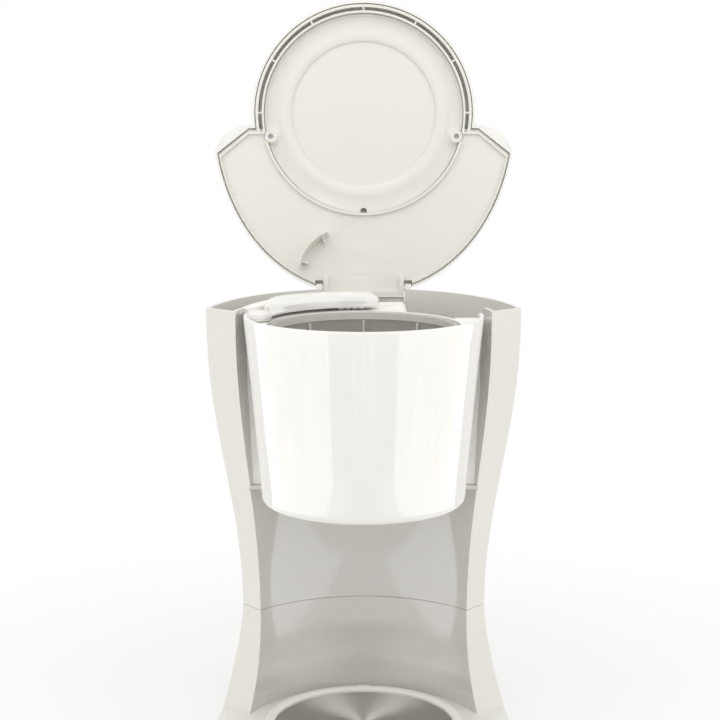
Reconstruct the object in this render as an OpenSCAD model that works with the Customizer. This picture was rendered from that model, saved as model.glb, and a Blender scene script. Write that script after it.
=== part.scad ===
// Drip coffee maker: hourglass housing, open-topped water tank, lift-out filter basket,
// swivelling spout arm and a lid that swings up and back. The jug stands on the hot plate.
// Millimetres, +Z up. The origin is the middle of the footprint, on the worktop.

/* [Body] */
// Height of the top edge of the housing
body_top = 315; // [290:1:340]
// Width of each cheek at the top
cheek_w = 21; // [18:0.5:24]
// Width of each cheek at the waist
cheek_waist_w = 13.2; // [11:0.2:16]
// How far the base reaches past the top on each side
base_flare = 2.6; // [0:0.2:6]
// Height of the seam between the upper and the lower housing
seam_z = 100; // [90:1:115]
// Distance from the basket axis back to the rear of the body at the top
rear_top = 131; // [129:1:145]
// How much shallower the body is at the waist
rear_waist_in = 2; // [0:0.5:6]
// Distance from the light ring forward to the front of the base
front_reach = 16; // [12:1:30]
// Wall of the housing mouldings
wall = 2.6; // [2:0.1:3]
// Height of the hot plate deck of the base
deck_z = 31; // [28:1:36]

/* [Cheeks] */
// Room between the front shell and each cheek at the top
cheek_gap = 6; // [4:0.5:9]
// Half distance between the inner edges of the cheeks at the waist
cheek_in_waist = 72; // [70:0.5:75]
// How far behind the basket axis the inner edges lie at the top
cheek_in_y_top = 9; // [6:0.5:12]
// How far behind the basket axis the inner edges lie at the waist
cheek_in_y_waist = 37.5; // [34:0.5:41]
// How far behind the basket axis the outer corners lie at the top
cheek_out_y_top = 28; // [25:0.5:31]
// How far behind the basket axis the outer corners lie at the waist
cheek_out_y_waist = 53.5; // [50:0.5:57]
// Room between the light ring and the bay wall
bay_gap = 3; // [2:0.5:6]

/* [Basket and well] */
// Distance from the well's inner wall out to the front shell's foot
shell_room = 3.6; // [3.2:0.1:5]
// How much narrower the front shell is at its foot
shell_taper = 11.4; // [8:0.2:14]
// Height of the foot of the front shell
shell_foot_z = 189; // [180:1:196]
// Wall of the front shell
shell_wall = 2.8; // [2.2:0.1:3.2]
// Inner radius of the well that takes the basket
well_r = 64; // [60:0.25:70]
// Height of the well's rim
well_rim_z = 307.8; // [300:0.2:309]
// Side clearance of the basket in the well
basket_gap = 0.8; // [0.5:0.1:1.5]
// Radius of the outlet under the basket
outlet_r = 10; // [8:0.5:12]
// Wall of the basket
basket_wall = 1.8; // [1.4:0.1:2.4]
// Number of draining ribs in the basket
basket_ribs = 9; // [6:1:12]

/* [Hot plate] */
// Radius of the hot plate
plate_r = 61; // [58:0.5:62]
// Width of the light ring round the hot plate
ring_w = 7; // [6:0.5:9]
// Radius of the raised disc in the middle of the hot plate
plate_disc_r = 22; // [16:0.5:30]
// Radius of the bend of the heating element
heater_r = 36; // [30:0.5:42]

/* [Lid] */
// Thickness of the closed lid over the housing
lid_h = 15.5; // [14:0.5:18]
// Overhang of the lid past the housing
lid_over = 2.6; // [1:0.1:4]
// How far the round front of the lid reaches past the front shell
lid_front = 2.4; // [1:0.2:4]
// Width of the slotted ring round the disc inside the lid
lid_ring_w = 9; // [8:0.2:11]
// Radius of the hollow in the middle of the disc
disc_hollow_r = 53; // [45:0.5:56]
// How far in front of the rear of the body the hinge axis lies
hinge_in = 3; // [2:0.5:6]
// Half length of the hinge between its brackets
hinge_half = 29.2; // [27:0.2:31]
// Angle from closed to fully open, resting on the stop
lid_open = 99; // [95:0.5:105]

/* [Spout arm] */
// Distance from the well's inner wall out to the arc that the arm follows
arm_off = 10; // [9.5:0.25:12]
// Half width of the arm
arm_half_w = 8.8; // [8:0.1:9.2]
// Height of the underside of the arm
arm_z = 310; // [309.6:0.1:311]

/* [Hidden] */

$fn = 72;
tiny = 0.01;
gap = 0.3;          // clearance between pieces that are only set together
run_gap = 0.06;     // radial clearance of a running fit
cream = "#EDEBE3";
white = "#FBFBF8";
grey_metal = "#5A5652";
rubber = "#2B2B2B";

shell_r_foot = well_r + shell_room;
shell_r_top = shell_r_foot + shell_taper;
cheek_in_top = shell_r_top + cheek_gap;
body_half_w = cheek_in_top + cheek_w;
waist_half_w = cheek_in_waist + cheek_waist_w;
base_half_w = body_half_w + base_flare;
ring_r = plate_r + ring_w;
bay_wall_y = ring_r + bay_gap;
base_front = ring_r + front_reach;
rear_waist = rear_top - rear_waist_in;
lid_r = shell_r_top + lid_front;
disc_r = lid_r - lid_ring_w;
hinge_y = rear_top - hinge_in;
arm_arc_r = well_r + arm_off;

// ---- form of the body -----------------------------------------------------

function smooth(t) = t <= 0 ? 0 : t >= 1 ? 1 : (1 - cos(180 * t)) / 2;
function mix(a, b, t) = a + (b - a) * t;
function above(z) = smooth(1.05 * (z - seam_z) / (body_top - seam_z));
function below(z) = max(0, (seam_z - z) / seam_z);
function at_z(z, base, waist, top, power) =
    z >= seam_z ? mix(waist, top, above(z)) : mix(waist, base, pow(below(z), power));

function out_x(z) = at_z(z, base_half_w, waist_half_w, body_half_w, 1.5);
function out_y(z) = at_z(z, 30, cheek_out_y_waist, cheek_out_y_top, 2);
function in_x(z) = at_z(z, cheek_in_waist + 18, cheek_in_waist, cheek_in_top, 2.5);
function in_y(z) = at_z(z, -8, cheek_in_y_waist, cheek_in_y_top, 2.5);
function wall_y(z) = at_z(z, bay_wall_y + 1, bay_wall_y, bay_wall_y + 13, 1);
function rear_y(z) = at_z(z, rear_top - 1, rear_waist, rear_top, 1.5);

function unit(v) = v / norm(v);
function left_of(v) = [-v[1], v[0]];

// moves every point of a closed outline inwards by d, square to its two edges
function inset(p, d) = let(n = len(p)) [
    for (i = [0 : n - 1])
        let(a = left_of(unit(p[i] - p[(i + n - 1) % n])),
            b = left_of(unit(p[(i + 1) % n] - p[i])),
            m = unit(a + b))
        p[i] + m * d / max(0.45, m * a)
];

function bezier(a, b, c, d, t) =
    a * pow(1 - t, 3) + b * 3 * pow(1 - t, 2) * t + c * 3 * (1 - t) * t * t + d * t * t * t;

// right half of the sides and rear, from the outer corner of the cheek to the middle of the rear
function rear_half(x, y, r, n) = [
    for (i = [0 : n]) bezier([x, y], [x - 10, y + 0.555 * (r - y)], [0.547 * x, r], [0, r], i / n)
];

// right half of the concave bay wall, from its middle to the inner edge of the cheek
function bay_half(x, y, w, n) = let(
        c = (w * w - x * x - y * y) / (2 * (w - y)),
        r = w - c,
        a = atan2(x, y - c))
    [for (i = [0 : n]) [r * sin(a * i / n), c + r * cos(a * i / n)]];

function mirrored(p) = [for (i = [len(p) - 2 : -1 : 1]) [-p[i][0], p[i][1]]];

// outline of the column at height z: bay wall, cheeks, sides and rear
function column_ring(z) = let(half = concat(
        bay_half(in_x(z), in_y(z), wall_y(z), bay_steps),
        rear_half(out_x(z), out_y(z), rear_y(z), rear_steps)))
    concat(half, mirrored(half));

// outline of the base at height z: a rounded front in place of the bay
function base_ring(z) = let(
        x = out_x(z), y = out_y(z) + 14,
        half = concat(
            [for (i = [0 : front_steps - 1])
                let(t = 90 * i / front_steps)
                [x * pow(sin(t), 0.84), y - (y + base_front) * pow(cos(t), 0.84)]],
            rear_half(x, y, rear_y(z), rear_steps)))
    concat(half, mirrored(half));

bay_steps = 12;
rear_steps = 12;
front_steps = 12;

function column_rings(levels, d) = [for (z = levels) inset(column_ring(z), d)];
function base_rings(levels, insets) =
    [for (i = [0 : len(levels) - 1]) inset(base_ring(levels[i]), insets[i])];
function steps(a, b, n) = [for (i = [0 : n]) mix(a, b, i / n)];
function at_level(rings, levels) =
    [for (k = [0 : len(rings) - 1]) for (p = rings[k]) [p[0], p[1], levels[k]]];

// side faces between stacked outlines of n points, starting at point s
function side_faces(n, levels, s, out) = [
    for (k = [0 : levels - 2]) for (i = [0 : n - 1])
        let(a = s + k * n + i, b = s + k * n + (i + 1) % n)
        for (f = out ? [[a, a + n, b], [b, a + n, b + n]] : [[a, b, a + n], [b, b + n, a + n]]) f
];

function flipped(f) = [for (i = [len(f) - 1 : -1 : 0]) f[i]];
function cut_up(q) = [[q[0], q[1], q[2]], [q[0], q[2], q[3]]];

// lower cap of a column outline, as strips from the bay wall to the rear wall on each side
function column_cap(n) = let(h = bay_steps, last = 2 * h + 1) [
    for (i = [0 : h - 1])
        let(right = [i, i + 1, last - i - 1, last - i],
            left = [(n - last + i) % n, (n - last + i + 1) % n, n - i - 1, (n - i) % n])
        for (f = concat(cut_up(right), cut_up(left))) f
];

// lower cap of an outline that has no hollow side
function round_cap(n) = [for (i = [1 : n - 2]) [0, i, i + 1]];

// solid through stacked outlines
module loft(rings, levels, column = false) {
    n = len(rings[0]);
    m = len(levels);
    cap = column ? column_cap(n) : round_cap(n);
    polyhedron(
        points = at_level(rings, levels),
        faces = concat(side_faces(n, m, 0, true), cap,
            [for (f = cap) [for (i = flipped(f)) i + (m - 1) * n]]),
        convexity = 6);
}

// open-ended shell between an outer and an inner stack of outlines
module loft_shell(outer, inner, levels) {
    n = len(outer[0]);
    m = len(levels);
    s = n * m;
    top = (m - 1) * n;
    polyhedron(
        points = concat(at_level(outer, levels), at_level(inner, levels)),
        faces = concat(
            side_faces(n, m, 0, true),
            side_faces(n, m, s, false),
            [for (i = [0 : n - 1]) let(j = (i + 1) % n)
                for (f = [[i, j, s + i], [j, s + j, s + i],
                    [top + i, top + s + i, top + j], [top + j, top + s + i, top + s + j]]) f]),
        convexity = 8);
}

// ---- helpers ---------------------------------------------------------------

module up(z) { translate([0, 0, z]) children(); }
module ring(r_out, r_in, h) {
    difference() {
        cylinder(r = r_out, h = h);
        up(-1) cylinder(r = r_in, h = h + 2);
    }
}
module at_all(points) { for (p = points) translate(p) children(); }
module both_sides() { children(); mirror([1, 0, 0]) children(); }

// round pipe along square corners, with bends of radius rb
module pipe(p, r, rb) {
    n = len(p);
    for (i = [0 : n - 2]) {
        d = unit(p[i + 1] - p[i]);
        a = p[i] + d * (i == 0 ? 0 : rb);
        b = p[i + 1] - d * (i == n - 2 ? 0 : rb);
        w = cross(d, abs(d[2]) > 0.5 ? [0, 1, 0] : [0, 0, 1]);
        q = cross(d, w);
        multmatrix([
            [w[0], q[0], d[0], a[0]], [w[1], q[1], d[1], a[1]], [w[2], q[2], d[2], a[2]],
            [0, 0, 0, 1]]) cylinder(r = r, h = norm(b - a), $fn = 32);
    }
    if (n > 2) for (i = [1 : n - 2]) {
        a = unit(p[i] - p[i - 1]);
        b = unit(p[i + 1] - p[i]);
        w = cross(a, b);
        o = p[i] - a * rb + b * rb;
        multmatrix([
            [-b[0], a[0], w[0], o[0]], [-b[1], a[1], w[1], o[1]], [-b[2], a[2], w[2], o[2]],
            [0, 0, 0, 1]]) rotate_extrude(angle = 90, $fn = 48) translate([rb, 0]) circle(r = r, $fn = 32);
    }
}

// ---- places that several pieces share ---------------------------------------

ceiling_z = shell_foot_z + 1;               // underside of the bay ceiling
well_floor_z = ceiling_z + wall + gap;      // underside of the well floor
well_wall = 2.2;
well_out = well_r + well_wall;
well_taper = 4;                             // how much narrower the well is at its floor
riser_run_z = well_rim_z - 9;               // height of the riser's level run under the shelf
plateau_z = body_top - 1;                   // top of the raised ledge on the left
tank_floor_z = seam_z + 12;
seam_lap = 4;
hole_r = outlet_r + 9;                      // openings under the drip stop

hub = [4 - arm_arc_r, 17];                  // pivot of the spout arm, in plan
hot = [hub[0], 58];                         // riser, in plan
pipe_z = 17;                                // height of the hoses under the hot plate
hose_r = 4.6;
bore_r = 3;
bend_r = 10;
leg_x = heater_r - 10;                               // half distance between the heater's legs
cold = [leg_x, rear_top - 31];                        // tank outlet, in plan
riser_r = 4.2;                              // outer radius of the riser
riser_top = arm_z + 2.4;
riser_bend_r = 6;

foot_h = 3;
// places round the base, each at a distance d inside its lower edge
function round_base(at) = [for (s = [-1, 1]) for (a = at)
    let(q = inset(base_ring(foot_h), a[1])[a[0]]) [s * q[0], q[1], 0]];
foot_at = round_base([[5, 13], [12, 20], [20, 12]]);
boss_at = round_base([[4, 11], [10, 11], [18, 11]]);
plate_z = foot_h - 0.6;                     // underside of the base plate
plate_t = 2.4;
boss_r = 4.2;
screw_r = 1.5;

mid_y = (hinge_y + (lid_r + hinge_y) * -cos(lid_open) + lid_h * sin(lid_open) - base_front) / 2;
module placed() { translate([0, -mid_y, 0]) children(); }

// ---- housing -----------------------------------------------------------------

hinge_z = body_top + 0.2;
pin_r = 1.8;
bracket_r = 3.4;
bracket_t = 4.5;
notch_half = hinge_half + 0.8;

module upper_housing() {
    levels = steps(seam_z + gap, body_top, 11);
    color(cream) difference() {
        union() {
            loft_shell(column_rings(levels, 0), column_rings(levels, wall), levels);
            tank_floor();
            bay_ceiling();
            both_sides() hinge_bracket();
        }
        // open well: the bay wall ends at the ceiling between the cheeks
        loft([for (z = open_levels) opening_ring(z)], open_levels);
        // notch for the lid's hinge bar
        translate([-notch_half, hinge_y - 8, hinge_z - 9]) cube([2 * notch_half, 30, 20]);
        // bore for the lid's hinge pins
        translate([-notch_half - 5, hinge_y, hinge_z]) rotate([0, 90, 0])
            cylinder(r = pin_r + run_gap, h = 2 * notch_half + 10, $fn = 32);
        // outlet of the tank, and way for the riser
        translate([cold[0], cold[1], tank_floor_z - 1]) cylinder(r = 6, h = 10, $fn = 36);
        translate([hot[0], hot[1], tank_floor_z - 1]) cylinder(r = riser_r + run_gap, h = 10, $fn = 36);
        level_cut(0);
    }
}

open_levels = steps(ceiling_z + wall, body_top + 1, 5);
function opening_ring(z) = let(x = strip_x(z) + 3.6, y = wall_y(z) + 8)
    [[-x, side_y], [x, side_y], [x, side_y + 14], [45, y], [-45, y], [-x, side_y + 14]];

module slab(z, t, d) {
    loft([inset(column_ring(z), d), inset(column_ring(z + t), d)], [z, z + t], true);
}

module tank_floor() { slab(tank_floor_z, wall, wall / 2); }

// plate that closes the top of the jug bay behind the front shell
module bay_ceiling() {
    difference() {
        up(ceiling_z) linear_extrude(wall)
            polygon(concat(
                bay_half(in_x(ceiling_z) + 1, in_y(ceiling_z), wall_y(ceiling_z) + 1, 16),
                flipped([for (p = bay_half(in_x(ceiling_z) + 1, in_y(ceiling_z), wall_y(ceiling_z) + 1, 16))
                    [-p[0], p[1]]])));
        up(ceiling_z - 1) cylinder(r = shell_r_foot + 0.6, h = 10);
    }
}

// ear that takes one hinge pin: an upright with a round top
module hinge_bracket() {
    translate([notch_half, hinge_y - bracket_r, hinge_z - 14]) cube([bracket_t, 2 * bracket_r, 14]);
    translate([notch_half, hinge_y, hinge_z]) rotate([0, 90, 0]) cylinder(r = bracket_r, h = bracket_t, $fn = 36);
}

// window opening through the right side of the housing
level_y = 74;
level_z0 = 150;
level_z1 = 285;
module level_cut(shrink) {
    translate([60, level_y - 5 + shrink, level_z0 + shrink])
        cube([60, 10 - 2 * shrink, level_z1 - level_z0 - 2 * shrink]);
}

module level_window() {
    levels = steps(level_z0 - 2, level_z1 + 2, 7);
    color("#D8DEDF") intersection() {
        loft_shell(column_rings(levels, 0.3), column_rings(levels, wall), levels);
        level_cut(0.15);
    }
}

module lower_housing() {
    col = steps(deck_z - wall, seam_z, 7);
    lap = [seam_z - 7, seam_z - 0.5, seam_z + gap, seam_z + seam_lap];
    lap_out = [wall - 0.3, wall - 0.3, wall + gap, wall + gap];
    base = [foot_h, 8, 16, deck_z - 8, deck_z - 4, deck_z - 1.4, deck_z];
    round_in = [2.5, 0, 0, 0.6, 2, 4.6, 7.5];
    color(cream) difference() {
        union() {
            difference() {
                union() {
                    loft(base_rings(base, round_in), base);
                    loft(column_rings(col, 0), col, true);
                }
                // hollow of the base, open below
                loft(base_rings([foot_h - 1, deck_z - 9, deck_z - wall], [2.5 + wall, wall, wall + 5]),
                    [foot_h - 1, deck_z - 9, deck_z - wall]);
                // hollow of the column
                col_in = steps(deck_z - 12, seam_z + 1, 7);
                loft(column_rings(col_in, wall), col_in, true);
            }
            // lip that the upper housing fits over
            loft_shell([for (i = [0 : 3]) inset(column_ring(lap[i]), lap_out[i])],
                column_rings(lap, 2 * wall), lap);
            // screw bosses under the deck
            at_all(boss_at) up(plate_z + plate_t + gap)
                cylinder(r = boss_r, h = deck_z - wall - plate_z - plate_t, $fn = 24);
            // collar that carries the hot plate
            up(deck_z - 8) ring(ring_r + 1.4, plate_r + 2.6, 7);
            up(deck_z - 8) ring(ring_r + 1.4, plate_r - 3, 2);
        }
        // groove and opening for the hot plate and its ring
        up(deck_z - 3) cylinder(r = ring_r + gap, h = 10);
        up(deck_z - 9) cylinder(r = plate_r - 3, h = 12);
        up(deck_z - 6) cylinder(r = plate_r + 2.6, h = 12);
        at_all(boss_at) up(plate_z) cylinder(r = screw_r - 0.1, h = 16, $fn = 20);
        switch_opening();
        gland_opening();
    }
}

module base_plate() {
    outline = inset(base_ring(foot_h), 2.5 + wall + 0.4);
    color(cream) difference() {
        union() {
            up(plate_z) linear_extrude(plate_t) polygon(outline);
            // stiffening rim and ribs
            up(plate_z + plate_t - tiny) linear_extrude(3) difference() {
                polygon(inset(outline, 1));
                polygon(inset(outline, 2.6));
            }
        }
        at_all(boss_at) up(plate_z + plate_t + 0.2) cylinder(r = boss_r + gap, h = 8, $fn = 24);
        at_all(foot_at) up(plate_z + plate_t + 0.2) cylinder(r = 4, h = 8, $fn = 24);
        at_all(foot_at) up(plate_z - 1) cylinder(r = 3.05, h = 8, $fn = 24);
        at_all(boss_at) up(plate_z - 1) cylinder(r = screw_r + 0.2, h = 8, $fn = 20);
        at_all(boss_at) up(plate_z - 1) cylinder(r = 3.4, h = 2, $fn = 24);
        // vents under the hot plate
        for (x = [-30 : 10 : 30]) translate([x - 2, -22, plate_z - 1]) cube([4, 44, 8]);
    }
}

module rubber_feet() {
    color(rubber) at_all(foot_at) rotate_extrude($fn = 36)
        polygon([[0, 0], [6.2, 0], [7, 0.8], [7, plate_z - 0.05], [3, plate_z - 0.05],
            [3, plate_z + plate_t], [3.7, plate_z + plate_t + 0.1], [2.4, plate_z + plate_t + 1.8],
            [0, plate_z + plate_t + 1.8]]);
}

module base_screws() {
    color("silver") at_all(boss_at) {
        difference() {
            up(plate_z + 0.1) cylinder(r = 3, h = 0.85, $fn = 24);
            up(plate_z - 1) cylinder(r = 1.3, h = 1.6, $fn = 6);
        }
        up(plate_z + 0.9) cylinder(r = screw_r - 0.15, h = 13, $fn = 20);
    }
}

// ---- front shell and well ------------------------------------------------------

lip_deg = 4.5;                              // how far each lip reaches behind the side
shell_slope = atan((shell_r_top - shell_r_foot) / (body_top - shell_foot_z));

module front_shell() {
    round_r = 5;
    h = body_top - shell_foot_z;
    color(white) union() {
        // cone-shaped wall with a rounded rim and foot
        rotate([0, 0, 180 - lip_deg]) rotate_extrude(angle = 180 + 2 * lip_deg, $fn = 144) difference() {
            polygon(concat(
                [[shell_r_top - shell_wall, body_top - 1], [shell_r_top - shell_wall + 0.8, body_top - 0.2],
                    [shell_r_top - 1.4, body_top], [shell_r_top - 0.4, body_top - 0.5], [shell_r_top, body_top - 1.4]]
                , [[shell_r_foot + 0.6, shell_foot_z + round_r + 1]],
                [for (i = [0 : 5]) [shell_r_foot + 0.5 - round_r + round_r * cos(i * 18),
                    shell_foot_z + round_r - round_r * sin(i * 18)]],
                [[shell_r_foot - 9, shell_foot_z], [shell_r_foot - 9, shell_foot_z + shell_wall],
                    [shell_r_foot - 7, shell_foot_z + shell_wall],
                    [shell_r_foot - shell_wall - 0.4, shell_foot_z + round_r + 2]]));
        }
        // floor of the shell
        up(shell_foot_z) difference() {
            cylinder(r = shell_r_foot - 8, h = shell_wall - 1, $fn = 144);
            up(-1) cylinder(r = hole_r, h = 8);
        }
        // rounded lips down both ends of the wall
        for (s = [lip_deg, 180 - lip_deg]) rotate([0, 0, s])
            translate([shell_r_foot + 0.6 - shell_wall / 2 - 0.1, 0, shell_foot_z + round_r])
            rotate([0, shell_slope, 0]) cylinder(r = shell_wall / 2 + 0.15, h = (h - round_r - 1) / cos(shell_slope), $fn = 24);
    }
}

deck_t = 2.2;
side_y = in_y(ceiling_z) + 3;               // front of the tank beside the well
strip_r = cheek_in_top - 1.6;               // reach of the shelf beside the cheeks
lip_x = shell_r_top - shell_wall - 1.8;     // corner of the shelf round the front shell's lip
lip_y = shell_r_top * sin(lip_deg) + 2;
ledge_r = arm_arc_r + arm_half_w + 0.8;     // inner edge of the raised ledge
step_x = 6;                                 // right end of the raised ledge
shelf_y = 100;                              // rear edge of the shelf right of the ledge

function arc(r, a, b, n) = [for (i = [0 : n]) r * [cos(mix(a, b, i / n)), sin(mix(a, b, i / n))]];

// outer edge of the ledge, from its front end on the left round to the middle of the rear
function ledge_edge(n) = let(x = in_x(body_top), r = rear_y(body_top) - 11.5)
    [for (i = [0 : n]) let(p = bezier([x, 14], [x, 60], [0.59 * x, r], [0, r], mix(0.12, 1, i / n))) [-p[0], p[1]]];

module well_tub() {
    color(white) difference() {
        union() {
            // wall and floor of the well
            rotate_extrude($fn = 120) polygon([[hole_r, well_floor_z], [well_out - well_taper - 4, well_floor_z],
                [well_out - well_taper, well_floor_z + 6],
                [well_out, well_floor_z + 40], [well_out, well_rim_z], [well_r, well_rim_z],
                [well_r, well_floor_z + 40], [well_r - well_taper, well_floor_z + 7], [well_r - well_taper - 3.4, well_floor_z + deck_t],
                [hole_r, well_floor_z + deck_t]]);
            // shelf inside the front shell
            rotate([0, 0, 180 - 2]) rotate_extrude(angle = 184, $fn = 120)
                translate([well_r + 1, well_rim_z - deck_t - 0.6])
                square([shell_r_top - shell_wall - 1.6 - well_r - 1, deck_t + 0.6]);
            // shelves beside the cheeks and behind the well
            up(well_rim_z - deck_t) linear_extrude(deck_t) {
                both_sides() polygon(concat(arc(strip_r, asin(lip_y / strip_r), asin((side_y + 2.4) / strip_r), 5),
                    [[well_r - 3, side_y + 2.4], [well_r + 1.2, 1.2], [lip_x, 1.2], [lip_x, lip_y]]));
                polygon(concat(arc(well_r + 1, 150, acos(hinge_half / well_r), 24),
                    [[hinge_half, shelf_y], [step_x + 1, shelf_y]],
                    arc(ledge_r + 2, acos((step_x + 1) / ledge_r), 158, 24)));
            }
            // raised ledge along the left
            up(well_rim_z - deck_t - 0.4) linear_extrude(plateau_z - well_rim_z + deck_t + 0.4)
                polygon(concat(arc(ledge_r, 180 - asin((side_y + 0.8) / ledge_r), acos(step_x / ledge_r), 20),
                    [[step_x, rear_y(body_top) - 11.5]], flipped(ledge_edge(12))));
            // low step behind the shelf
            translate([step_x - 1, ledge_r + 0.5, well_rim_z - 1])
                cube([hinge_half - step_x, shelf_y - ledge_r - 1.5, 2.4]);
            // partitions that close the tank beside the front shell
            both_sides() partition();
        }
        // way for the lid's fin
        translate([-54, 82, plateau_z - 16]) cube([34, 34, 20]);
        // ways for the riser, through the partition and up to the spout arm
        translate([hub[0], hub[1], well_rim_z - 20]) cylinder(r = riser_r + gap, h = 40, $fn = 36);
        translate([hub[0], side_y - 3, riser_run_z]) rotate([-90, 0, 0])
            cylinder(r = riser_r + 2 * gap, h = 9, $fn = 36);
    }
}

// where the bay wall meets the front of the tank at height z
function strip_x(z) = let(
        x = in_x(z), y = in_y(z), w = wall_y(z),
        c = (w * w - x * x - y * y) / (2 * (w - y)))
    sqrt((w - c) * (w - c) - (side_y - c) * (side_y - c));

module partition() {
    levels = steps(well_floor_z, well_rim_z - 1, 5);
    x0 = sqrt(well_r * well_r - side_y * side_y) + 0.8;
    y1 = side_y + 1.8;
    loft([for (z = levels) let(x1 = strip_x(z) + 0.7) [[x0, side_y], [x1, side_y], [x1, y1], [x0, y1]]],
        levels);
}

// ---- hot plate and water heater ---------------------------------------------------

module hot_plate() {
    t = 1.6;
    z = deck_z - 6 + gap / 2;
    color(grey_metal) rotate_extrude($fn = 96)
        polygon([[0, deck_z + 1.4], [plate_disc_r - 1, deck_z + 1.4], [plate_disc_r, deck_z + 0.6],
            [plate_r - 4, deck_z - 0.2], [plate_r - 1.2, deck_z + 0.9], [plate_r, deck_z + 0.2],
            [plate_r, z], [plate_r - 2.4, z],
            [plate_r - 2.4, deck_z - 1.6 - t], [0, deck_z - 1.6 - t]]);
}

module hot_plate_ring() {
    // tab at the rear of the ring
    color("#DCD9D0") translate([-4.3, plate_r + 2.4, deck_z + 1]) cube([8.6, 2.4, 3.2]);
    color("#DCD9D0") rotate_extrude($fn = 96)
        polygon([[plate_r + gap, deck_z - 6 + 0.15], [plate_r + 2.3, deck_z - 6 + 0.15],
            [plate_r + 2.3, deck_z - 3 + 0.15], [ring_r, deck_z - 3 + 0.15], [ring_r, deck_z + 2.2],
            [ring_r - 1.5, deck_z + 3.6], [plate_r + 2.2, deck_z + 3.6], [plate_r + gap, deck_z + 2]]);
}

heater_z = deck_z - 8.4;
module horseshoe(r) {
    up(heater_z) {
        rotate([0, 0, 180]) rotate_extrude(angle = 180, $fn = 96) translate([heater_r, 0]) circle(r = r, $fn = 32);
        both_sides() translate([heater_r, 0, 0]) rotate([-90, 0, 0]) cylinder(r = r, h = 26, $fn = 32);
    }
}

module heating_element() {
    r = 3.9;
    color("#B9BBBD") union() {
        // heater tube
        horseshoe(r);
        // water tube beside it, inside the bend
        up(heater_z - 0.4) {
            rotate([0, 0, 180]) rotate_extrude(angle = 180, $fn = 96)
                translate([leg_x, 0]) circle(r = r + 0.6, $fn = 32);
            both_sides() translate([leg_x, 0, 0]) rotate([-90, 0, 0]) cylinder(r = r + 0.6, h = 30, $fn = 32);
        }
        // web that joins both tubes to the plate
        up(heater_z - 1.5) linear_extrude(5.0) difference() {
            union() {
                intersection() {
                    circle(r = heater_r + 1, $fn = 96);
                    translate([-60, -60]) square([120, 60]);
                }
                translate([-heater_r - 1, -tiny]) square([2 * heater_r + 2, 24]);
            }
            circle(r = leg_x - 1, $fn = 96);
            translate([-leg_x + 1, 0]) square([2 * leg_x - 2, 60]);
        }
        // spigots for the hoses
        both_sides() translate([leg_x, 28, pipe_z + 0]) rotate([-90, 0, 0]) cylinder(r = bore_r - 0.1, h = 30, $fn = 32);
    }
}

clamp_z = heater_z - 6.8;                   // underside of the clamp
clamp_t = 1.6;
clamp_at = [[-14, 0, 0], [14, 0, 0]];
under_plate_z = deck_z - 3.2;               // underside of the hot plate

module heater_clamp() {
    color("silver") difference() {
        union() {
            translate([-heater_r, -6, clamp_z]) cube([2 * heater_r, 12, clamp_t]);
            up(clamp_z) cylinder(r = 10, h = clamp_t, $fn = 48);
        }
        at_all(clamp_at) up(clamp_z - 5) cylinder(r = 1.9, h = 12, $fn = 24);
    }
}

module heater_screws() {
    color("silver") at_all(clamp_at) {
        up(clamp_z - 2.5) cylinder(r = 3.2, h = 2.4, $fn = 24);
        up(clamp_z - 1) cylinder(r = 1.8, h = under_plate_z - clamp_z + 0.9, $fn = 24);
    }
}

module thermostat() {
    color("#3A3A3A") up(clamp_z - 6.8) union() {
        cylinder(r = 7.8, h = 4.6, $fn = 40);
        up(4.6) cylinder(r = 8.6, h = 2.1, $fn = 40);
        both_sides() translate([3.5, -1.5, -2]) cube([0.8, 3, 2.5]);
    }
}

module thermal_fuse() {
    r = 2.2;
    color("#E8E2D4") both_sides() translate([7, -9, clamp_z + clamp_t + r + 0.1]) rotate([-90, 0, 0])
        cylinder(r = r, h = 18, $fn = 24);
}

// ---- water path -------------------------------------------------------------------

hose_in = 8;                                // how far a hose is pushed onto a spigot
spigot_end = 58;

module cold_hose() {
    color("#E4E0D8") difference() {
        pipe([[leg_x, spigot_end - hose_in, pipe_z], [leg_x, cold[1], pipe_z],
            [leg_x, cold[1], valve_z0 + hose_in]], hose_r, bend_r);
        pipe([[leg_x, spigot_end - hose_in - 1, pipe_z], [leg_x, cold[1], pipe_z],
            [leg_x, cold[1], valve_z0 + hose_in + 1]], bore_r, bend_r);
    }
}

valve_z0 = tank_floor_z - 34;
valve_travel = 3;
module check_valve_body() {
    color(white) translate([cold[0], cold[1], 0]) {
        rotate_extrude($fn = 40) polygon([[1.6, valve_z0], [bore_r - 0.1, valve_z0], [bore_r - 0.1, valve_z0 + 10], [7.5, valve_z0 + 12],
            [7.5, tank_floor_z - 4], [9.5, tank_floor_z - 4], [9.5, tank_floor_z - 0.1],
            [5.8, tank_floor_z - 0.1], [5.8, tank_floor_z + wall + 1.5],
            [4.4, tank_floor_z + wall + 1.5], [4.4, valve_z0 + 19], [2.4, valve_z0 + 16], [2.4, valve_z0 + 13]]);
        // bar that keeps the ball down
        translate([-4.8, -0.7, valve_z0 + 22.4 + valve_travel]) cube([9.6, 1.4, 1.6]);
    }
}

ball_r = 3.4;
module check_valve_ball() {
    seat = valve_z0 + 18.9;
    color("#C9CCCE") translate([cold[0], cold[1], seat]) sphere(r = ball_r, $fn = 32);
}

module tank_strainer() {
    z = tank_floor_z + wall + 1.8;
    color(white) translate([cold[0], cold[1], z]) difference() {
        union() {
            cylinder(r = 8, h = 1.6, $fn = 40);
            up(1.6) cylinder(r = 7, h = 4.4, $fn = 40);
        }
        up(-1) cylinder(r = 5, h = 5.6, $fn = 40);
        for (i = [0 : 9]) rotate([0, 0, i * 36]) translate([4, -0.7, 2.2]) cube([5, 1.4, 2.8]);
    }
}

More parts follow.
